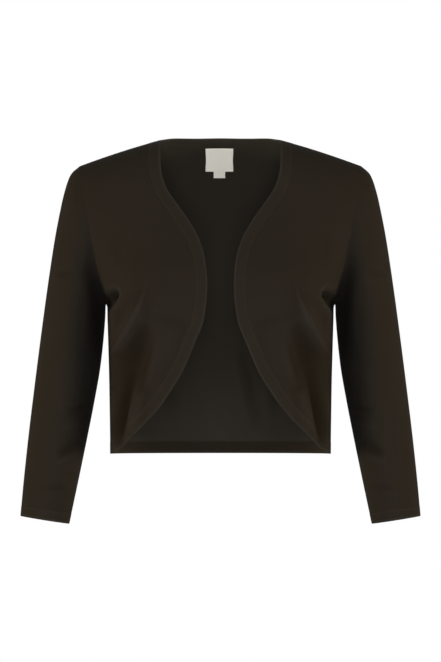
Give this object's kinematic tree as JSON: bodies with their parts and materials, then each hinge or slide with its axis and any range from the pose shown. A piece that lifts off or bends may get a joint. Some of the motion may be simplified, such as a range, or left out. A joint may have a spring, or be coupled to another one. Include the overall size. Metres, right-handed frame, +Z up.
{
  "type": "knitted shrug",
  "caption": "Cropped bolero shrug in fine dark knit, filled out as worn, with rounded open fronts, narrow edge bands and set-in three-quarter sleeves.",
  "frame": {"origin": "middle of the neck between the two shoulder seams, at the height of the seams, where a wearer's shoulders hold the garment", "axes": "+X towards the wearer's left, +Y towards the back, +Z up; the open front faces -Y"},
  "size_m": [0.544, 0.2258, 0.5253],
  "materials": {
    "fine_knit": "fine-gauge viscose and nylon knit, near black with a brown cast, soft low sheen",
    "band_knit": "the same yarn knitted closer as a narrow double band, soft low sheen",
    "woven_label": "cream woven polyester label tape, matt"
  },
  "bodies": {
    "root": {"back": "fine_knit", "front_left": "fine_knit", "front_right": "fine_knit", "sleeve_left_front_upper": "fine_knit", "sleeve_left_front_lower": "fine_knit", "sleeve_left_back": "fine_knit", "sleeve_right_front_upper": "fine_knit", "sleeve_right_front_lower": "fine_knit", "sleeve_right_back": "fine_knit", "cuff_left": "band_knit", "cuff_right": "band_knit", "front_band_left": "band_knit", "front_band_right": "band_knit", "neck_band": "band_knit", "hem_band": "band_knit", "label": "woven_label", "size_tab": "woven_label"}
  },
  "joints": []
}
